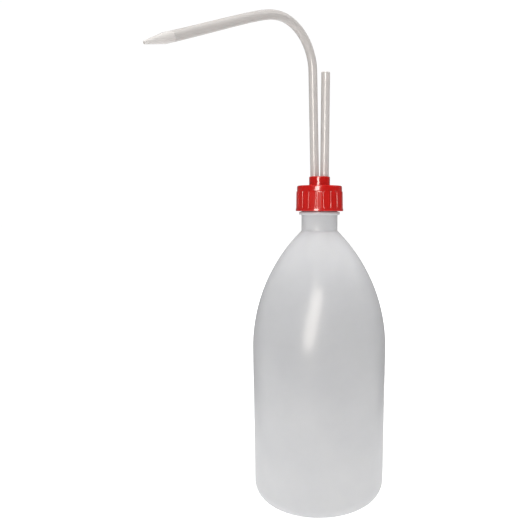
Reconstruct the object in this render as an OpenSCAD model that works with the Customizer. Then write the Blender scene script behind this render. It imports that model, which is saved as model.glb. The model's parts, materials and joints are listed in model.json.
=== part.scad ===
// Vented wash bottle: squeeze bottle, screw ring, tube holder, bent delivery tube with a jet
// nozzle, and a short straight vent tube. Millimetres, +Z up, origin at the centre of the base.

/* [Bottle] */
// Largest radius of the body
body_r = 47.5; // [44:0.5:50]
// Radius of the body just above the rounded base edge
foot_r = 46.75; // [43:0.25:47.5]
// Height of the largest radius, where the shoulder starts
shoulder_z = 108.5; // [90:0.5:112]
// Radius of the shoulder arc
shoulder_r = 117.5; // [116:0.5:122]
// Rounding radius of the base edge
base_round = 11.5; // [8:0.5:14]
// How far the middle of the base is pushed up
push_up = 2.6; // [1:0.1:4]
// Wall thickness of the bottle
wall = 1.25; // [1:0.05:1.4]
// Outer radius of the neck
neck_r = 12.7; // [12.6:0.1:12.8]
// Height of the rim
rim_z = 219; // [218:0.5:220]

/* [Thread] */
// Pitch of the screw thread
pitch = 3; // [2.8:0.1:3.2]
// Crest radius of the bottle's thread
male_r = 13.75; // [13.6:0.05:13.8]
// Crest radius of the ring's thread
female_r = 13.05; // [13.0:0.05:13.15]

/* [Screw ring] */
// Outer radius at the lower bead
ring_r = 16.7; // [16.2:0.1:17.5]
// Outer radius where the ribs end at the top
ring_top_r = 16.35; // [16.1:0.05:16.5]
// Outer radius of the smooth crown above the ribs
crown_r = 15.75; // [15.4:0.05:15.9]
// Overall height
ring_h = 17.7; // [17.5:0.1:18.5]
// Number of grip ribs
rib_count = 20; // [16:1:30]
// Radius of the grooves between the ribs
groove_r = 0.55; // [0.3:0.05:0.6]

/* [Tube holder] */
// Radius of the boss that stands out of the ring
boss_r = 7.3; // [7.2:0.05:7.5]
// Height of the boss above the ring's top face
boss_h = 6.3; // [4:0.1:9]
// Distance between the axes of the two tubes
tube_gap = 6.9; // [6.7:0.1:7.1]

/* [Tubes] */
// Outer diameter of both tubes
tube_od = 6; // [5.8:0.1:6.1]
// Inner diameter of both tubes
tube_id = 4; // [3:0.1:4.4]
// Bend radius of the delivery tube
bend_r = 30; // [22:0.5:36]
// Slope of the delivery arm below the horizontal
droop = 22; // [10:0.1:35]
// Lean of the delivery tube towards its arm
arm_tilt = 1.6; // [0:0.1:2]
// Length of the delivery tube from the boss to its bend
rise = 71.5; // [71:0.5:120]
// Direction of the delivery arm, counted from -X towards -Y
arm_turn = 48; // [0:1:120]
// Length of the straight arm, without the nozzle
arm_len = 76.5; // [40:0.5:110]
// Height of the lower end of the delivery tube above the ground
dip_z = 9; // [8:0.5:30]
// Height of the top of the vent tube
vent_top_z = 301; // [260:1:302]
// Height of the lower end of the vent tube
vent_low_z = 207; // [205:0.5:210]
// Sideways tilt of the vent tube
vent_tilt = 0.5; // [0:0.1:0.8]

/* [Nozzle] */
// Length of the nozzle's cylindrical part
nozzle_collar = 5.5; // [3:0.5:8]
// Length of the nozzle's cone
nozzle_cone = 13; // [9:0.5:18]
// Diameter of the jet hole
jet_d = 1.2; // [0.8:0.1:1.4]

/* [Hidden] */
$fn = 96;

run_fit = 0.3;          // clearance between pieces that turn past each other
face_gap = 0.1;         // clearance between flat faces that turn past each other
tube_fit = 0.04;        // radial running clearance of a tube in its bore

stand_r = foot_r - base_round;                   // outer radius of the flat standing ring
stand_w = 3;                                     // width of the flat standing ring
arc_x = body_r - shoulder_r;                     // centre of the shoulder arc
neck_fillet = 1.6;                               // fillet between shoulder and neck
fillet_d = neck_r + neck_fillet - arc_x;         // fillet centre, out from the arc's centre
fillet_h = sqrt(pow(shoulder_r + neck_fillet, 2) - pow(fillet_d, 2));
fillet_a = atan2(fillet_h, fillet_d);            // where shoulder and fillet meet
fillet_z = shoulder_z + fillet_h;
collar_r = 14.35;                                // bead below the screw ring
collar_z = 203;
collar_h = 2.2;

ring_z = rim_z + 4.4 - ring_h;                   // bottom of the screw ring
ring_top_z = ring_z + ring_h;
ring_root_r = male_r + run_fit;                  // bore of the ring between its threads
ring_plate = 1.8;                                // thickness of the ring's top plate
bead_h = 1.7;                                    // plain bead below the ribs
bead_step = 0.2;
rib_top_z = ring_top_z - 4.2;                    // where the ribs end
crown_round = 1.1;

gasket_h = 1;
gasket_in_r = 11.1;
gasket_out_r = 12.4;
flange_z = rim_z + gasket_h + 0.05;
flange_h = ring_top_z - ring_plate - face_gap - flange_z;
flange_r = 12.6;
plug_r = neck_r - wall - 0.45;                   // outside of the plug in the bottle's mouth
plug_in_r = plug_r - 1.1;
plug_h = 6;
sleeve_h = 7;                                    // tube sleeves below the flange
boss_top_z = ring_top_z + boss_h;
tube_r = tube_od / 2;
bore_r = tube_r + tube_fit;
tube_x = tube_gap / 2;

turn_steps = 40;                                 // steps in one turn of thread
bend_a = 90 + droop - arm_tilt;                  // angle of the bend
bend_thin = 0.03;                                // the wall is this much thinner in the bend
bend_lap = 0.5;                                  // the straight stretches run this far into it

// Points on an arc with centre c and radius r, from angle a0 to a1
function arc(c, r, a0, a1, n) =
    [for (i = [0:n]) let (a = a0 + (a1 - a0) * i / n) [c[0] + r * cos(a), c[1] + r * sin(a)]];

// Bottle outline from the standing ring to the rim, moved in by d
function bottle_side(d) = concat(
    arc([stand_r, base_round], base_round - d, -90, 0, 12),
    arc([arc_x, shoulder_z], shoulder_r - d, 0, fillet_a, 40),
    arc([neck_r + neck_fillet, fillet_z], neck_fillet + d, 180 + fillet_a, 180, 6));

// Underside of the base, raised by d: a shallow dome inside the standing ring
function dome_r() = (pow(stand_r - stand_w, 2) + pow(push_up, 2)) / (2 * push_up);
function dome(d, n) =
    [for (i = [0:n]) let (r = (stand_r - stand_w) * i / n)
        [r, d + push_up - dome_r() + sqrt(pow(dome_r(), 2) - r * r)]];

// Right-hand helical ridge: foot radius r0, crest radius r1, axial widths w0 and w1
module helix_ridge(r0, r1, w0, w1, z0, turns) {
    n = round(turns * turn_steps);
    fade = 8;
    pts = [for (i = [0:n])
        let (a = 360 * i / turn_steps, z = z0 + pitch * i / turn_steps,
            k = min(1, 0.12 + i / fade, 0.12 + (n - i) / fade), rc = r0 + (r1 - r0) * k)
        for (p = [[r0, -w0], [rc, -w1], [rc, w1], [r0, w0]])
            [p[0] * cos(a), p[0] * sin(a), z + p[1] / 2]];
    sides = [for (i = [0:n - 1], j = [0:3])
        let (a = 4 * i + j, b = 4 * i + (j + 1) % 4) each [[a, b, b + 4], [a, b + 4, a + 4]]];
    ends = [[3, 2, 1, 0], [4 * n, 4 * n + 1, 4 * n + 2, 4 * n + 3]];
    faces = concat(sides, ends);
    polyhedron(points = pts,
        faces = r0 < r1 ? faces : [for (f = faces) [for (k = [len(f) - 1:-1:0]) f[k]]]);
}

module bottle() {
    outside = concat(dome(0, 12), bottle_side(0), [[neck_r, rim_z - 0.4], [neck_r - 0.4, rim_z]]);
    inside = concat(dome(wall, 12), bottle_side(wall),
        [[neck_r - wall, rim_z - 0.3], [neck_r - wall + 0.3, rim_z]]);
    color([0.92, 0.93, 0.94, 0.75]) {
        rotate_extrude()
            polygon(concat(outside, [for (i = [len(inside) - 1:-1:0]) inside[i]]));
        translate([0, 0, collar_z])
            rotate_extrude()
                polygon([[neck_r - 0.5, 0], [collar_r - 0.8, 0], [collar_r, 0.5],
                    [collar_r, collar_h - 0.3], [collar_r - 0.3, collar_h], [neck_r - 0.5, collar_h]]);
        helix_ridge(neck_r - 0.4, male_r, 2.4, 0.8, collar_z + 6, 2.25);
    }
}

module rib_grooves() {
    bottom = [ring_r - bead_step, ring_z + bead_h];
    top = [ring_top_r, rib_top_z];
    tilt = atan2(bottom[0] - top[0], top[1] - bottom[1]);
    length = (top[1] - bottom[1]) / cos(tilt);
    for (i = [0:rib_count - 1])
        rotate([0, 0, 360 * (i + 0.5) / rib_count])
            translate([bottom[0], 0, bottom[1]])
                rotate([0, -tilt, 0])
                    cylinder(r = groove_r, h = length, $fn = 24);
}

module cap_ring() {
    color([0.83, 0.16, 0.14]) {
        difference() {
            rotate_extrude()
                polygon(concat(
                    [[ring_root_r, ring_z], [ring_r - 0.3, ring_z], [ring_r, ring_z + 0.3],
                        [ring_r, ring_z + bead_h - 0.2], [ring_r - bead_step, ring_z + bead_h],
                        [ring_top_r, rib_top_z - 0.2], [crown_r + 0.1, rib_top_z + 0.3]],
                    arc([crown_r - crown_round, ring_top_z - crown_round], crown_round, 0, 90, 6),
                    [[boss_r + run_fit, ring_top_z], [boss_r + run_fit, ring_top_z - ring_plate],
                        [flange_r + run_fit, ring_top_z - ring_plate],
                        [flange_r + run_fit, rib_top_z + 0.3], [ring_root_r, rib_top_z - 0.4]]));
            rib_grooves();
        }
        helix_ridge(ring_root_r + 0.3, female_r, 2, 0.7, collar_z + 6 - pitch / 2, 2);
    }
}

module tube_holder() {
    color([0.83, 0.16, 0.14])
        difference() {
            union() {
                translate([0, 0, flange_z])
                    rotate_extrude()
                        polygon(concat([[0, 0], [flange_r, 0], [flange_r, flange_h], [boss_r, flange_h]],
                            arc([boss_r - 0.5, boss_top_z - flange_z - 0.5], 0.5, 0, 90, 4),
                            [[0, boss_top_z - flange_z]]));
                translate([0, 0, flange_z - plug_h])
                    difference() {
                        cylinder(r = plug_r, h = plug_h + 0.5);
                        translate([0, 0, -1])
                            cylinder(r = plug_in_r, h = plug_h + 1);
                    }
                translate([0, 0, flange_z - sleeve_h])
                    cylinder(r = boss_r, h = sleeve_h + 0.5);
            }
            arm_place()
                tube_bore();
            vent_place()
                tube_bore();
        }
}

module tube_bore() {
    depth = boss_top_z - flange_z + sleeve_h;
    translate([0, 0, -depth - 2])
        cylinder(r = bore_r, h = depth + 4);
}

module sealing_gasket() {
    color([0.9, 0.9, 0.87])
        translate([0, 0, rim_z + 0.05])
            rotate_extrude()
                polygon([[gasket_in_r, 0], [gasket_out_r, 0], [gasket_out_r, gasket_h],
                    [gasket_in_r, gasket_h]]);
}

// Puts things on the vent tube's axis, with z = 0 at the top of the boss
module vent_place() {
    translate([tube_x, 0, boss_top_z])
        rotate([0, vent_tilt, 0])
            children();
}

// Puts things on the delivery tube's axis, with z = 0 at the top of the boss and +X along the arm
module arm_place() {
    translate([-tube_x, 0, boss_top_z])
        rotate([0, 0, 180 + arm_turn])
            rotate([0, arm_tilt, 0])
                children();
}

// Follows the bend to its end, where +Z runs on along the straight arm
module arm_start() {
    translate([bend_r, 0, rise])
        rotate([0, bend_a, 0])
            translate([-bend_r, 0, 0])
                children();
}

module hose(h) {
    linear_extrude(h)
        tube_section();
}

// Ring section of the tube, with its wall thinned by d on both sides
module tube_section(d = 0) {
    difference() {
        circle(r = tube_r - d);
        circle(r = tube_id / 2 + d);
    }
}

// A bent stretch of tube that starts at the origin along +Z and curves towards +X
module bent_hose(r, angle) {
    translate([r, 0, 0])
        mirror([1, 0, 0])
            rotate([90, 0, 0])
                rotate_extrude(angle = angle)
                    translate([r, 0])
                        tube_section(bend_thin);
}

module delivery_tube() {
    depth = boss_top_z - dip_z;
    color([0.88, 0.87, 0.85, 0.7])
        arm_place() {
            difference() {
                translate([0, 0, -depth])
                    hose(depth + rise + bend_lap);
                translate([0, 0, -depth])
                    rotate([0, 35, 0])
                        translate([0, 0, -10])
                            cube([30, 30, 20], center = true);
            }
            translate([0, 0, rise])
                bent_hose(bend_r, bend_a);
            arm_start()
                translate([0, 0, -bend_lap])
                    hose(arm_len + bend_lap);
        }
}

module jet_nozzle() {
    spigot = 8;
    bore = 1.2;
    color([0.9, 0.89, 0.87, 0.8])
        arm_place()
            arm_start()
                translate([0, 0, arm_len])
                    rotate_extrude()
                        polygon([[bore, -spigot], [tube_id / 2 - 0.2, -spigot], [tube_id / 2, -spigot + 0.6],
                            [tube_id / 2, 0], [tube_r, 0], [tube_r, nozzle_collar],
                            [tube_r - 0.25, nozzle_collar + 0.6],
                            [0.95, nozzle_collar + nozzle_cone], [jet_d / 2, nozzle_collar + nozzle_cone],
                            [jet_d / 2, nozzle_collar + nozzle_cone - 3], [bore, nozzle_collar]]);
}

module vent_tube() {
    color([0.88, 0.87, 0.85, 0.7])
        vent_place()
            translate([0, 0, vent_low_z - boss_top_z])
                hose(vent_top_z - vent_low_z);
}

bottle();
cap_ring();
tube_holder();
sealing_gasket();
delivery_tube();
jet_nozzle();
vent_tube();
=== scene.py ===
"""The wash bottle's looks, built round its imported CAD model. Blender 4.5, metres, +Z up.

Every detailed piece is a closed mesh made here from a few driving sizes and the CAD boxes.
"""

import json
import math

import bpy
from mathutils import Matrix, Vector


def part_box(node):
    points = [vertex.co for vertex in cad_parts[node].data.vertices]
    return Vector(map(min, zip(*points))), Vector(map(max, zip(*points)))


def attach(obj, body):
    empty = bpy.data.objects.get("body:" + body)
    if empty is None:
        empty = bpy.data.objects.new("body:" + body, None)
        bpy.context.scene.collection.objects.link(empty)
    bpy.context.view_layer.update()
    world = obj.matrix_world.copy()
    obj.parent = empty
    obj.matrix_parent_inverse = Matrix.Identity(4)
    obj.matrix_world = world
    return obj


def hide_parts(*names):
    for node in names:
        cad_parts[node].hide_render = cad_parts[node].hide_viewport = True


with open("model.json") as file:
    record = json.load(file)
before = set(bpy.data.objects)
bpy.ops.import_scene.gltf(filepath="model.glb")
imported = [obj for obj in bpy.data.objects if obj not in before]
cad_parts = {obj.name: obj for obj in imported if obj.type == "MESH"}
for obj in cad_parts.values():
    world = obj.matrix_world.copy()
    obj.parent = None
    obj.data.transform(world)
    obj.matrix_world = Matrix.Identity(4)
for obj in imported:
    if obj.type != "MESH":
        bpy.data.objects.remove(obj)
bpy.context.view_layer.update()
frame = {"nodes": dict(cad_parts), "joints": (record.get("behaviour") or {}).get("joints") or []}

MM = 0.001
TAU = 2 * math.pi
joints = {joint["name"]: joint for joint in frame["joints"]}

# ---------------------------------------------------------------- sizes
_, bottle_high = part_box("bottle")
RIM_Z = bottle_high.z
BODY_R = bottle_high.x
FOOT_R = BODY_R - 0.75 * MM
BASE_ROUND = 11.5 * MM
SHOULDER_Z = 108.5 * MM
SHOULDER_R = 117.5 * MM
NECK_R = 12.7 * MM
NECK_FILLET = 1.6 * MM
WALL = 1.25 * MM
PUSH_UP = 2.6 * MM
STAND_W = 3 * MM
COLLAR_R = 14.35 * MM
COLLAR_Z = 203 * MM
COLLAR_H = 2.2 * MM
SEAM_H = 0.07 * MM
SEAM_HALF = 0.22 * MM
PINCH_H = 0.45 * MM
PINCH_HALF = 2.2 * SEAM_HALF
PINCH_LEN = 24 * MM
PINCH_FADE = 2 * MM

PITCH = 3 * MM
THREAD_Z = COLLAR_Z + 6 * MM
MALE_R = 13.75 * MM
FEMALE_R = 13.05 * MM
THREAD_SINK = 0.3 * MM

ring_low, ring_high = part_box("cap_ring")
RING_R = 16.7 * MM
RIB_R_LOW = 16.5 * MM
RIB_R_HIGH = 16.32 * MM
RIB_COUNT = 20
STEPS_PER_RIB = 20
RIB_TOP = ring_high.z - 4.2 * MM
GROOVE_DEPTH = 0.6 * MM
GROOVE_HALF = 0.75 * MM
RIB_DISH = 0.10 * MM
CROWN_R = 15.75 * MM
BEAD_H = 1.7 * MM
PLATE = 1.8 * MM
FLANGE_BORE = 12.9 * MM
RING_GAP = 0.3 * MM

_, holder_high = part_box("tube_holder")
BOSS_TOP = holder_high.z
BOSS_R = 7.3 * MM

TUBE_R = 3 * MM
TUBE_BORE = 2 * MM
TUBE_SIDES = 44
BEND_R = 30 * MM
RISE = 71.5 * MM
DROOP = math.radians(22)
ARM_LEN = 76.5 * MM
BEND_FLAT = 0.07
ARM_BOW = 1.1 * MM
DIP_SLOPE = 0.9 * math.tan(math.radians(35))
DIP_CUT_ROWS = 8
DIP_CLEARANCE = 1.2 * MM
SPIGOT = 8 * MM
NOZZLE_FIT = 0.02 * MM
NOZZLE_BORE = 1.2 * MM
NOZZLE_COLLAR = 5.5 * MM
NOZZLE_CONE = 13 * MM
TIP_R = 0.95 * MM
JET_R = 0.6 * MM

# Strengths of the backdrop and the table, as different kinds of ray see them
AMBIENT = 0.36
MIRRORED = 0.10
BACKDROP = 1.02
TABLE_GLOW = 0.50
TABLE_SEEN = 0.90

# Painted light and shade: the bottle's brightness at heights from the base (0) to the rim (1),
# times the gain below. It is lighter at the base and the neck, where the table's glow and the top
# light fall, and darker around the middle. It is fitted to the tones in the photograph, so that
# picture's lighting is painted into it.
HEIGHT_SHADING = [(0.0, 1.0), (0.28, 0.91), (0.54, 0.79), (0.70, 0.81), (0.88, 0.93)]
HEIGHT_SHADING_GAIN = 1.25

LIGHTS_AIM = Vector((0, 0, 0.15))
ON_AXIS = 1e-9


# ---------------------------------------------------------------- mesh helpers
def arc(centre, radius, start, end, count):
    """Points on an arc in a plane, angles in degrees."""
    points = []
    for i in range(count + 1):
        angle = math.radians(start + (end - start) * i / count)
        points.append((centre[0] + radius * math.cos(angle), centre[1] + radius * math.sin(angle)))
    return points


def rounded(corners, steps=5):
    """A closed outline from (x, y, rounding radius) corners, each cut off by a smooth curve.

    most is the largest share of a side that one corner's curve may take.
    """
    points = []
    count = len(corners)
    most = 0.49
    for i, (x, y, radius) in enumerate(corners):
        here = Vector((x, y))
        before = Vector(corners[i - 1][:2]) - here
        after = Vector(corners[(i + 1) % count][:2]) - here
        if radius <= 0:
            points.append((x, y))
            continue
        u, v = before.normalized(), after.normalized()
        half = math.acos(max(-1, min(1, u.dot(v)))) / 2
        cut = min(radius / math.tan(half), most * before.length, most * after.length)
        for k in range(steps + 1):
            t = k / steps
            point = here + u * cut * (1 - t) ** 2 + v * cut * t ** 2
            points.append(tuple(point))
    return points


def mesh_object(name, verts, faces, material, body, flat_over=35):
    """A smooth-shaded object that rides on a body; edges sharper than flat_over stay crisp."""
    mesh = bpy.data.meshes.new(name)
    mesh.from_pydata([tuple(v) for v in verts], [], faces)
    mesh.validate()
    mesh.polygons.foreach_set("use_smooth", [True] * len(mesh.polygons))
    mesh.set_sharp_from_angle(angle=math.radians(flat_over))
    mesh.materials.append(material)
    piece = bpy.data.objects.new(name, mesh)
    bpy.context.scene.collection.objects.link(piece)
    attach(piece, body)
    return piece


def lathe(outline, angles, shift=None):
    """Turns a closed (radius, height) outline round Z. shift(r, z, angle) may move a point."""
    verts, faces = [], []
    rows, turns = len(outline), len(angles)
    for angle in angles:
        for r, z in outline:
            if shift:
                r, z = shift(r, z, angle)
            verts.append((r * math.cos(angle), r * math.sin(angle), z))
    for a in range(turns):
        b = (a + 1) % turns
        for i in range(rows):
            j = (i + 1) % rows
            faces.append((a * rows + i, b * rows + i, b * rows + j, a * rows + j))
    return verts, faces


def close_axis(outline, verts, faces):
    """Joins each outline point that lies on the axis, repeated at every angle, into one."""
    rows = len(outline)
    keep = {}
    merged = []
    place = []
    for index, vert in enumerate(verts):
        row = index % rows
        if outline[row][0] < ON_AXIS:
            if row not in keep:
                keep[row] = len(merged)
                merged.append((0, 0, vert[2]))
            place.append(keep[row])
        else:
            place.append(len(merged))
            merged.append(vert)
    kept = []
    for face in faces:
        ring = []
        for v in face:
            if place[v] not in ring:
                ring.append(place[v])
        if len(ring) > 2:
            kept.append(tuple(ring))
    return merged, kept


def even_angles(count):
    """Equal steps once round the axis."""
    return [TAU * i / count for i in range(count)]


def seam_angles(count):
    """Even steps round the axis, with close ones at the two parting lines on X."""
    near = [0, 0.12, 0.24, 0.36, 0.5, 0.7, 1.0, 1.4]
    clear = 1.6
    angles = set()
    for seam in (0, 180):
        for a in near:
            angles.add(round((seam + a) % 360, 3))
            angles.add(round((seam - a) % 360, 3))
    for i in range(count):
        a = 360 * i / count
        if min(abs(a - seam) for seam in (0, 180, 360)) > clear:
            angles.add(round(a, 3))
    return [math.radians(a) for a in sorted(angles)]


def helix_ridge(foot_r, crest_r, foot_w, crest_w, start_z, turns, steps=72):
    """A right-hand thread ridge as one closed mesh, its ends run out into the wall."""
    count = int(turns * steps)
    fade = steps / 6
    end_height = 0.1
    shoulder_w = 0.55 * crest_w + 0.12 * foot_w
    verts, faces = [], []
    section = [(0, -0.5 * foot_w), (0.75, -shoulder_w), (1, -0.4 * crest_w),
               (1, 0.4 * crest_w), (0.75, shoulder_w), (0, 0.5 * foot_w)]
    for i in range(count + 1):
        angle = TAU * i / steps
        height = min(1, end_height + i / fade, end_height + (count - i) / fade)
        for rise, along in section:
            r = foot_r + (crest_r - foot_r) * rise * height
            z = start_z + PITCH * i / steps + along
            verts.append((r * math.cos(angle), r * math.sin(angle), z))
    n = len(section)
    for i in range(count):
        for j in range(n):
            k = (j + 1) % n
            faces.append((i * n + j, i * n + k, (i + 1) * n + k, (i + 1) * n + j))
    faces.append(tuple(range(n - 1, -1, -1)))
    faces.append(tuple(count * n + j for j in range(n)))
    if crest_r > foot_r:
        faces = [tuple(reversed(face)) for face in faces]
    return verts, faces


def joined(*parts):
    """Several (verts, faces) pairs as one."""
    verts, faces = [], []
    for part_verts, part_faces in parts:
        start = len(verts)
        verts.extend(part_verts)
        faces.extend(tuple(v + start for v in face) for face in part_faces)
    return verts, faces


# ---------------------------------------------------------------- materials
class Shader:
    """A Principled material with short calls for the node patterns used below."""

    def __init__(self, name):
        self.material = bpy.data.materials.new(name)
        self.material.use_nodes = True
        self.tree = self.material.node_tree
        self.bsdf = self.tree.nodes["Principled BSDF"]
        self.coords = self.tree.nodes.new("ShaderNodeTexCoord").outputs["Object"]

    def set(self, **values):
        """Sets sockets of the Principled shader, with _ for each space in a socket's name."""
        for name, value in values.items():
            self.bsdf.inputs[name.replace("_", " ")].default_value = value

    def node(self, kind, **settings):
        node = self.tree.nodes.new("ShaderNode" + kind)
        for name, value in settings.items():
            setattr(node, name, value)
        return node

    def link(self, source, target):
        self.tree.links.new(source, target)

    def stretched(self, scale):
        """The object's coordinates, scaled along each axis."""
        node = self.node("Mapping")
        node.inputs["Scale"].default_value = scale
        self.link(self.coords, node.inputs["Vector"])
        return node.outputs["Vector"]

    def noise(self, scale, detail=3, stretch=None, roughness=0.5):
        node = self.node("TexNoise")
        node.inputs["Scale"].default_value = scale
        node.inputs["Detail"].default_value = detail
        node.inputs["Roughness"].default_value = roughness
        self.link(self.stretched(stretch) if stretch else self.coords, node.inputs["Vector"])
        return node.outputs["Fac"]

    def ramp(self, source, stops):
        """A colour ramp through (place, colour) stops."""
        node = self.node("ValToRGB")
        while len(node.color_ramp.elements) < len(stops):
            node.color_ramp.elements.new(0.5)
        for element, (place, colour) in zip(node.color_ramp.elements, stops):
            element.position = place
            element.color = (*colour, 1)
        self.link(source, node.inputs["Fac"])
        return node.outputs["Color"]

    def span(self, source, low, high):
        """Maps 0 to 1 onto low to high."""
        node = self.node("MapRange")
        node.inputs["To Min"].default_value = low
        node.inputs["To Max"].default_value = high
        self.link(source, node.inputs["Value"])
        return node.outputs["Result"]

    def add(self, first, second, weight):
        """first + second * weight."""
        node = self.node("Math", operation="MULTIPLY_ADD")
        self.link(second, node.inputs[0])
        node.inputs[1].default_value = weight
        self.link(first, node.inputs[2])
        return node.outputs[0]

    def height(self, top):
        """The height above the base, from 0 to 1 at top."""
        split = self.node("SeparateXYZ")
        self.link(self.coords, split.inputs["Vector"])
        node = self.node("MapRange")
        node.inputs["From Max"].default_value = top
        self.link(split.outputs["Z"], node.inputs["Value"])
        return node.outputs["Result"]

    def product(self, first, second, gain):
        """first * second * gain, for colours."""
        node = self.node("VectorMath", operation="MULTIPLY")
        self.link(first, node.inputs[0])
        self.link(second, node.inputs[1])
        scale = self.node("VectorMath", operation="SCALE")
        scale.inputs["Scale"].default_value = gain
        self.link(node.outputs["Vector"], scale.inputs["Vector"])
        return scale.outputs["Vector"]

    def bump(self, height, distance, strength):
        node = self.node("Bump")
        node.inputs["Strength"].default_value = strength
        node.inputs["Distance"].default_value = distance
        self.link(height, node.inputs["Height"])
        self.link(node.outputs["Normal"], self.bsdf.inputs["Normal"])

    def colour(self, source):
        self.link(source, self.bsdf.inputs["Base Color"])

    def rough(self, source):
        self.link(source, self.bsdf.inputs["Roughness"])


def bottle_material():
    """Blow-moulded low-density polyethylene: milky, satin, faintly clouded."""
    s = Shader("milky_polyethylene")
    clouds = s.ramp(s.noise(28, detail=4, roughness=0.6),
                    [(0.3, (0.570, 0.572, 0.586)), (0.7, (0.603, 0.604, 0.614))])
    # Painted light and shade by height: the base colour is lighter at the base and the neck and
    # darker around the middle.
    height_shading = [(place, (grey, grey, grey)) for place, grey in HEIGHT_SHADING]
    s.colour(s.product(clouds, s.ramp(s.height(RIM_Z), height_shading), HEIGHT_SHADING_GAIN))
    s.rough(s.span(s.noise(160), 0.30, 0.42))
    flow = s.noise(60, detail=2, stretch=(1, 1, 0.12))
    s.bump(s.add(s.noise(900, detail=2), flow, 1.5), 0.04 * MM, 0.5)
    s.set(IOR=1.51, Subsurface_Weight=1.0, Subsurface_Radius=(1.0, 1.0, 1.05),
          Subsurface_Scale=2.5 * MM, Coat_Weight=0.25, Coat_Roughness=0.2,
          Specular_IOR_Level=0.12)
    return s.material


def tube_material(name, warm, clear):
    """Polyethylene of the tubes and the nozzle: glossier than the bottle, in a warm tone."""
    s = Shader(name)
    clouds = s.noise(120, roughness=0.55)
    light = tuple(c * 1.04 for c in warm)
    s.colour(s.ramp(clouds, [(0.3, warm), (0.7, light)]))
    s.rough(s.span(s.noise(300, detail=2), 0.16, 0.26))
    s.bump(s.noise(140, detail=1), 0.02 * MM, 0.15)
    s.set(IOR=1.5, Subsurface_Weight=0.5, Subsurface_Radius=(1.0, 0.98, 0.95),
          Subsurface_Scale=1.2 * MM, Transmission_Weight=clear, Coat_Weight=0.12,
          Coat_Roughness=0.12, Specular_IOR_Level=0.35)
    return s.material


def red_material():
    """Glossy moulded red polypropylene with a fine moulded grain."""
    s = Shader("red_polypropylene")
    clouds = s.noise(90)
    s.colour(s.ramp(clouds, [(0.3, (0.56, 0.006, 0.004)), (0.7, (0.62, 0.009, 0.006))]))
    s.rough(s.span(s.noise(700), 0.16, 0.28))
    s.bump(s.noise(1500, detail=2), 0.03 * MM, 0.4)
    s.set(IOR=1.49, Subsurface_Weight=0.15, Subsurface_Radius=(1.0, 0.12, 0.08),
          Subsurface_Scale=2 * MM, Coat_Weight=0.7, Coat_Roughness=0.12,
          Specular_IOR_Level=0.2)
    return s.material


def gasket_material():
    """Pale, slightly foamed sealing ring."""
    s = Shader("pale_gasket")
    clouds = s.noise(900, detail=4)
    s.colour(s.ramp(clouds, [(0.3, (0.70, 0.69, 0.65)), (0.7, (0.80, 0.79, 0.75))]))
    s.rough(s.span(s.noise(1200, detail=2), 0.55, 0.75))
    s.bump(s.noise(2500), 0.1 * MM, 0.6)
    return s.material


# ---------------------------------------------------------------- bottle
def bottle_side(inward, base_steps=14, side_steps=12, shoulder_steps=90, fillet_steps=10):
    """Outline from the standing ring to the neck, moved in by inward."""
    centre_x = BODY_R - SHOULDER_R
    out = NECK_R + NECK_FILLET - centre_x
    up = math.sqrt((SHOULDER_R + NECK_FILLET) ** 2 - out ** 2)
    meet = math.degrees(math.atan2(up, out))
    points = arc((FOOT_R - BASE_ROUND, BASE_ROUND), BASE_ROUND - inward, -90, 0, base_steps)
    for k in range(1, side_steps):
        t = k / side_steps
        points.append((FOOT_R - inward + (BODY_R - FOOT_R) * t,
                       BASE_ROUND + (SHOULDER_Z - BASE_ROUND) * t))
    points += arc((centre_x, SHOULDER_Z), SHOULDER_R - inward, 0, meet, shoulder_steps)
    points += arc((NECK_R + NECK_FILLET, SHOULDER_Z + up), NECK_FILLET + inward,
                  180 + meet, 180, fillet_steps)[1:]
    return points


def base_dome(raised, count=16):
    """The pushed-up middle of the base, from the axis to the standing ring."""
    edge = FOOT_R - BASE_ROUND - STAND_W
    dome_r = (edge ** 2 + PUSH_UP ** 2) / (2 * PUSH_UP)
    points = []
    for i in range(count + 1):
        r = edge * i / count
        points.append((r, raised + PUSH_UP - dome_r + math.sqrt(dome_r ** 2 - r * r)))
    return points


def bottle_outline():
    """Closed outline: the outer skin up from the axis to the rim, then the inner skin back."""
    top = COLLAR_Z + COLLAR_H
    rim_r = 0.4 * MM
    lip_r = 0.3 * MM
    collar = [
        (NECK_R, COLLAR_Z - 0.3 * MM),
        (NECK_R + 0.25 * MM, COLLAR_Z),
        (COLLAR_R - 0.5 * MM, COLLAR_Z + 0.15 * MM),
        (COLLAR_R - 0.1 * MM, COLLAR_Z + 0.45 * MM),
        (COLLAR_R, COLLAR_Z + 0.8 * MM),
        (COLLAR_R, top - 0.4 * MM),
        (COLLAR_R - 0.12 * MM, top - 0.1 * MM),
        (COLLAR_R - 0.4 * MM, top),
        (NECK_R + 0.3 * MM, top),
        (NECK_R, top + 0.3 * MM)]
    rim = arc((NECK_R - rim_r, RIM_Z - rim_r), rim_r, 0, 90, 5)
    lip = arc((NECK_R - WALL + lip_r, RIM_Z - lip_r), lip_r, 90, 180, 5)
    outer = base_dome(0) + bottle_side(0) + collar + rim
    inner = base_dome(WALL) + bottle_side(WALL)
    return outer + lip + list(reversed(inner))


def on_inner_skin(r, z):
    """True for the side and shoulder of the inner skin, which has no parting line."""
    if z < SHOULDER_Z:
        return r < BODY_R - 0.7 * WALL - (BODY_R - FOOT_R) * (1 - z / SHOULDER_Z)
    away = math.hypot(r - (BODY_R - SHOULDER_R), z - SHOULDER_Z)
    return away < SHOULDER_R - 0.5 * WALL


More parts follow.
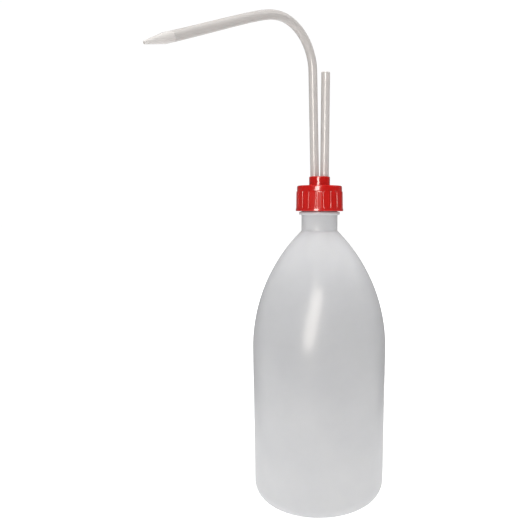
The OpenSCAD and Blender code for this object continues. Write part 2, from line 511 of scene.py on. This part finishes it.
def mould_marks(r, z, angle):
    """Raises the parting lines on the body and the pinch line under the base."""
    off = abs(math.sin(angle)) * r
    on_side = r > FOOT_R - 0.6 * WALL if z < SHOULDER_Z else z < COLLAR_Z
    if r > FOOT_R - BASE_ROUND and on_side:
        if on_inner_skin(r, z):
            return r, z
        return r + SEAM_H * math.exp(-(off / SEAM_HALF) ** 2), z
    if z < PUSH_UP + 0.5 * WALL and r < FOOT_R - BASE_ROUND - STAND_W:
        along = abs(math.cos(angle)) * r
        ends = max(0, min(1, (PINCH_LEN - along) / PINCH_FADE))
        return r, z - PINCH_H * math.exp(-(off / PINCH_HALF) ** 2) * ends
    return r, z


def build_bottle():
    outline = bottle_outline()
    shell = close_axis(outline, *lathe(outline, seam_angles(180), mould_marks))
    thread = helix_ridge(NECK_R - THREAD_SINK, MALE_R, 2.2 * MM, 1.0 * MM, THREAD_Z, 2.25)
    verts, faces = joined(shell, thread)
    piece = mesh_object("bottle_shell", verts, faces, bottle_material(), "bottle", 40)
    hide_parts("bottle")


# ---------------------------------------------------------------- screw ring
def build_cap_ring(red):
    bottom, top = ring_low.z, ring_high.z
    bore = MALE_R + RING_GAP
    step = BEAD_H + bottom
    hole = BOSS_R + RING_GAP
    outline = rounded([
        (bore, bottom, 0.25 * MM),
        (RING_R, bottom, 0.35 * MM),
        (RING_R, step, 0.25 * MM),
        (RIB_R_LOW, step + 0.1 * MM, 0.1 * MM)])
    rows = 26
    for i in range(1, rows):
        t = i / rows
        outline.append((RIB_R_LOW + (RIB_R_HIGH - RIB_R_LOW) * t, step + (RIB_TOP - step) * t))
    outline += rounded([
        (RIB_R_HIGH, RIB_TOP, 0.3 * MM),
        (CROWN_R + 0.1 * MM, RIB_TOP + 0.35 * MM, 0.3 * MM),
        (CROWN_R, top, 1.1 * MM),
        (hole, top, 0.25 * MM),
        (hole, top - PLATE, 0.2 * MM),
        (FLANGE_BORE, top - PLATE, 0.2 * MM),
        (FLANGE_BORE, RIB_TOP + 0.3 * MM, 0.2 * MM),
        (bore, RIB_TOP - 0.4 * MM, 0.2 * MM)])

    def ribbed(r, z, angle):
        """Cuts the grooves between the ribs, and dishes each rib's face a little."""
        if r < RIB_R_HIGH - 0.25 * MM or z < step or z > RIB_TOP + 0.2 * MM:
            return r, z
        turn = (angle / TAU * RIB_COUNT) % 1 - 0.5
        off = abs(turn) * TAU / RIB_COUNT * r
        groove = max(0, 1 - (off / GROOVE_HALF) ** 2) ** 0.7
        dish = (1 - math.cos(turn * TAU)) / 2
        fade = max(0, min(1, (z - step - 0.15 * MM) / (0.5 * MM)))
        return r - (GROOVE_DEPTH * groove + RIB_DISH * dish) * fade, z

    ring = lathe(outline, even_angles(RIB_COUNT * STEPS_PER_RIB), ribbed)
    thread = helix_ridge(bore + THREAD_SINK, FEMALE_R, 2 * MM, 0.8 * MM, THREAD_Z - PITCH / 2, 2)
    verts, faces = joined(ring, thread)
    piece = mesh_object("screw_ring", verts, faces, red, "cap_ring", 38)
    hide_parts("cap_ring")


# ---------------------------------------------------------------- tubes
def swept(stations, inner, sides):
    """A tube through stations of (centre, in-plane, across, half height, half width).

    inner is the bore as a share of the outside.
    """
    verts, faces = [], []
    count = len(stations)
    for skin in (1.0, inner):
        for centre, up, across, high, wide in stations:
            for k in range(sides):
                angle = TAU * k / sides
                verts.append(centre + up * (high * skin * math.cos(angle))
                             + across * (wide * skin * math.sin(angle)))

    def band(a, b, flip):
        """The faces between the rings of points that start at a and at b."""
        for k in range(sides):
            m = (k + 1) % sides
            face = (a + k, a + m, b + m, b + k)
            faces.append(tuple(reversed(face)) if flip else face)

    for i in range(count - 1):
        band(i * sides, (i + 1) * sides, False)
    for i in range(count, 2 * count - 1):
        band(i * sides, (i + 1) * sides, True)
    band(0, count * sides, True)
    band((count - 1) * sides, (2 * count - 1) * sides, False)
    return verts, faces


def delivery_frame():
    """The delivery tube's plane: origin on its axis at the boss, along the arm, and up."""
    joint = joints["delivery_swivel"]
    origin = Vector(joint["pos_m"])
    origin.z = BOSS_TOP
    axis = Vector(joint["axis"]).normalized()
    low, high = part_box("jet_nozzle")
    arm = (low + high) / 2 - origin
    arm = (arm - axis * arm.dot(axis)).normalized()
    return origin, axis, arm


def arm_path():
    """The delivery tube's axis: at(distance past the boss), its length, and the way across it.

    at gives a point, the tube's direction there, and how far into the bend it is, from 0 to 1.
    """
    origin, axis, arm = delivery_frame()
    turn = math.pi / 2 + DROOP - math.acos(axis.z)
    length = RISE + BEND_R * turn + ARM_LEN
    across = axis.cross(arm).normalized()
    end = origin + axis * RISE
    bow_start = RISE + BEND_R * math.pi / 2

    def on_bend(angle):
        return end + arm * (BEND_R * (1 - math.cos(angle))) + axis * (BEND_R * math.sin(angle))

    def without_bow(distance):
        if distance <= RISE:
            return origin + axis * distance, axis, 0.0
        angle = (distance - RISE) / BEND_R
        if angle < turn:
            bent = math.sin(math.pi * (angle / turn))
            return on_bend(angle), axis * math.cos(angle) + arm * math.sin(angle), bent
        direction = axis * math.cos(turn) + arm * math.sin(turn)
        return on_bend(turn) + direction * (distance - RISE - BEND_R * turn), direction, 0.0

    def bow(distance):
        """How far the arm stands off a straight line."""
        u = max(0.0, min(1.0, (distance - bow_start) / (length - bow_start)))
        ease = min(1.0, u / 0.2)
        return ARM_BOW * ease * ease * (3 - 2 * ease) * math.sin(0.9 * math.pi * math.sqrt(u)) ** 2

    def at(distance):
        point, direction, bent = without_bow(distance)
        inward = across.cross(direction).normalized()
        return point - inward * bow(distance), direction, bent

    return at, length, across


def delivery_rows(depth, bend_end):
    """Distances of the tube's rows of points, closest together at its cut end and its bend."""
    rows = [-depth]
    rows += [-depth + 0.4 * MM * (1 + k * k) for k in range(6)]
    rows += [-depth + 12 * MM + (depth - 14 * MM) * k / 12 for k in range(13)]
    rows += [RISE * k / 16 for k in range(17)]
    rows += [RISE + (bend_end - RISE) * k / 72 for k in range(1, 73)]
    rows += [bend_end + ARM_LEN * k / 20 for k in range(1, 21)]
    return sorted(set(rows))


def build_delivery_tube(plastic):
    at, length, across = arm_path()
    low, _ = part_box("delivery_tube")
    _, axis, _ = delivery_frame()
    depth = (BOSS_TOP - low.z) / axis.z - DIP_CLEARANCE
    stations = []
    for distance in delivery_rows(depth, length - ARM_LEN):
        point, direction, bent = at(distance)
        up = across.cross(direction).normalized()
        flat = BEND_FLAT * bent ** 1.5
        stations.append((point, up, across, TUBE_R * (1 - flat), TUBE_R * (1 + 0.25 * flat)))
    verts, faces = swept(stations, TUBE_BORE / TUBE_R, TUBE_SIDES)
    for skin in (0, len(stations) * TUBE_SIDES):
        for i in range(DIP_CUT_ROWS):
            fade = 1 - i / DIP_CUT_ROWS
            centre, up = stations[i][:2]
            for k in range(TUBE_SIDES):
                index = skin + i * TUBE_SIDES + k
                off = (verts[index] - centre).dot(up)
                verts[index] = verts[index] + axis * (DIP_SLOPE * (off + TUBE_R) * fade)
    piece = mesh_object("spout_tube", verts, faces, plastic, "delivery", 50)
    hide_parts("delivery_tube")


def placed(verts, origin, axis, across):
    """Moves verts built along +Z to origin, with +Z along axis."""
    z = axis.normalized()
    y = across.normalized()
    x = y.cross(z)
    turn = Matrix((x, y, z)).transposed()
    return [origin + turn @ Vector(v) for v in verts]


def build_nozzle(plastic):
    at, length, across = arm_path()
    point, direction, _ = at(length)
    end = NOZZLE_COLLAR + NOZZLE_CONE
    outline = rounded([
        (NOZZLE_BORE, -SPIGOT, 0),
        (TUBE_BORE - 0.2 * MM, -SPIGOT, 0.1 * MM),
        (TUBE_BORE - NOZZLE_FIT, -SPIGOT + 0.6 * MM, 0.1 * MM),
        (TUBE_BORE - NOZZLE_FIT, NOZZLE_FIT, 0),
        (TUBE_R - NOZZLE_FIT, NOZZLE_FIT, 0.08 * MM),
        (TUBE_R - 0.5 * NOZZLE_FIT, NOZZLE_COLLAR, 1.6 * MM),
        (TIP_R + 0.12 * MM, end - 1.1 * MM, 1.5 * MM),
        (TIP_R, end, 0.15 * MM),
        (JET_R, end, 0.1 * MM),
        (JET_R, end - 3 * MM, 0.5 * MM),
        (NOZZLE_BORE, NOZZLE_COLLAR, 0.5 * MM)], 8)
    verts, faces = lathe(outline, even_angles(48))
    piece = mesh_object("jet_tip", placed(verts, point, direction, across), faces, plastic,
                        "delivery", 45)
    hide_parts("jet_nozzle")


def build_vent_tube(plastic):
    axis = Vector(joints["vent_slide"]["axis"]).normalized()
    low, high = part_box("vent_tube")
    half = ((high.z - low.z) / 2 - TUBE_R * axis.x) / axis.z
    edge = 0.12 * MM
    outline = rounded([
        (TUBE_BORE, -half, edge),
        (TUBE_R, -half, edge),
        (TUBE_R, half, edge),
        (TUBE_BORE, half, edge)], 4)
    verts, faces = lathe(outline, even_angles(56))
    verts = placed(verts, (low + high) / 2, axis, Vector((0, 1, 0)))
    piece = mesh_object("air_tube", verts, faces, plastic, "vent", 60)
    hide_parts("vent_tube")


# ---------------------------------------------------------------- stage
def stage_plane(name, corners, material):
    """A flat piece of the studio."""
    mesh = bpy.data.meshes.new(name)
    mesh.from_pydata(corners, [], [(0, 1, 2, 3)])
    plane = bpy.data.objects.new(name, mesh)
    bpy.context.scene.collection.objects.link(plane)
    mesh.materials.append(material)
    return plane


def floor_material():
    """A pale table that glows more brightly to the camera than it does onto the object."""
    s = Shader("pale_floor")
    s.colour(s.ramp(s.noise(3), [(0.3, (0.50, 0.50, 0.505)), (0.7, (0.52, 0.52, 0.52))]))
    seen = s.node("LightPath").outputs["Is Camera Ray"]
    s.link(s.span(seen, TABLE_GLOW, TABLE_SEEN), s.bsdf.inputs["Emission Strength"])
    s.set(Roughness=0.8, Specular_IOR_Level=0.1, Emission_Color=(1, 1, 1, 1))
    return s.material


def build_stage():
    """The table, and a dark upright flag on each side that only the object sees."""
    size = 6.0
    stage_plane("floor", [(-size, -size, 0), (size, -size, 0), (size, size, 0), (-size, size, 0)],
                floor_material())
    dark = Shader("flag")
    dark.set(Base_Color=(0.22, 0.22, 0.22, 1), Roughness=0.9, Specular_IOR_Level=0.0)
    low, high = 0.001, 0.30
    for side in (-1, 1):
        near = (side * 0.16, 0.02)
        far = (side * 0.13, 0.42)
        flag = stage_plane("flag", [(*near, low), (*far, low), (*far, high), (*near, high)],
                           dark.material)
        flag.visible_camera = False
        flag.visible_shadow = False


def area_light(name, place, size, radiance, lights, colour=(1, 1, 1), roll=0):
    """A softbox turned by roll degrees. lights is "surface" for no glint, "glint" for only that."""
    data = bpy.data.lights.new(name, "AREA")
    data.shape = "RECTANGLE"
    data.size, data.size_y = size
    data.energy = radiance * math.pi * size[0] * size[1]
    data.color = colour
    light = bpy.data.objects.new(name, data)
    light.location = place
    aim = (LIGHTS_AIM - Vector(place)).to_track_quat("-Z", "Y").to_matrix()
    light.rotation_euler = (aim @ Matrix.Rotation(math.radians(roll), 3, "Z")).to_euler()
    light.visible_camera = False
    light.visible_glossy = lights == "glint"
    light.visible_diffuse = lights == "surface"
    bpy.context.scene.collection.objects.link(light)


def build_world():
    """A backdrop that is white to the camera and through the tubes, and dim to the rest.

    It lights the object at AMBIENT and shows in its reflections at MIRRORED.
    """
    world = bpy.data.worlds.new("studio")
    bpy.context.scene.world = world
    world.use_nodes = True
    tree = world.node_tree
    background = tree.nodes["Background"]
    background.inputs["Color"].default_value = (1.0, 1.0, 1.0, 1)
    path = tree.nodes.new("ShaderNodeLightPath")
    seen = tree.nodes.new("ShaderNodeMath")
    seen.operation = "MAXIMUM"
    tree.links.new(path.outputs["Is Camera Ray"], seen.inputs[0])
    tree.links.new(path.outputs["Is Transmission Ray"], seen.inputs[1])
    level = tree.nodes.new("ShaderNodeMapRange")
    level.inputs["To Min"].default_value = AMBIENT
    level.inputs["To Max"].default_value = BACKDROP
    tree.links.new(seen.outputs["Value"], level.inputs["Value"])
    dimmed = tree.nodes.new("ShaderNodeMath")
    dimmed.operation = "MULTIPLY_ADD"
    tree.links.new(path.outputs["Is Glossy Ray"], dimmed.inputs[0])
    dimmed.inputs[1].default_value = MIRRORED - AMBIENT
    tree.links.new(level.outputs["Result"], dimmed.inputs[2])
    tree.links.new(dimmed.outputs["Value"], background.inputs["Strength"])


def build_lights():
    area_light("top", (0, -0.2, 1.6), (1.6, 1.6), 3.2, "surface")
    area_light("front", (-0.25, -1.3, 0.75), (1.0, 0.8), 0.7, "surface")
    area_light("left_fill", (-1.1, -0.3, 0.5), (0.6, 0.8), 0.5, "surface", (0.93, 0.97, 1.0))
    area_light("back_fill", (0.5, 1.4, 0.8), (1.2, 1.0), 1.1, "surface")
    area_light("key", (-0.205, -1.04, 0.45), (0.34, 1.0), 21.0, "glint", (1.0, 0.94, 0.87), -21)
    area_light("right_glint", (0.95, 0.15, 0.85), (0.30, 0.5), 2.2, "glint")


def build_camera():
    """Level with the cap, in front of the bottle's axis, tilted down a little."""
    tilt_down = 5.5
    roll = -0.13
    data = bpy.data.cameras.new("camera")
    data.lens = 38.3
    data.sensor_width = 36
    data.shift_x = -0.1028
    camera = bpy.data.objects.new("camera", data)
    camera.location = (0, -0.400, 0.206)
    camera.rotation_euler = (math.radians(90 - tilt_down), math.radians(roll), 0)
    bpy.context.scene.collection.objects.link(camera)
    bpy.context.scene.camera = camera
    bpy.context.scene.view_settings.view_transform = "Standard"


def finish_cad_node(name, material):
    """Gives a CAD node that keeps its own mesh its detailed material."""
    piece = frame["nodes"][name]
    piece.data.materials.clear()
    piece.data.materials.append(material)


red_plastic = red_material()
tube_plastic = tube_material("tube_polyethylene", (0.67, 0.636, 0.612), 0.12)
nozzle_plastic = tube_material("nozzle_polyethylene", (0.72, 0.69, 0.665), 0.0)
build_bottle()
build_cap_ring(red_plastic)
build_delivery_tube(tube_plastic)
build_nozzle(nozzle_plastic)
build_vent_tube(tube_plastic)
finish_cad_node("tube_holder", red_plastic)
finish_cad_node("sealing_gasket", gasket_material())
build_stage()
build_world()
build_lights()
build_camera()
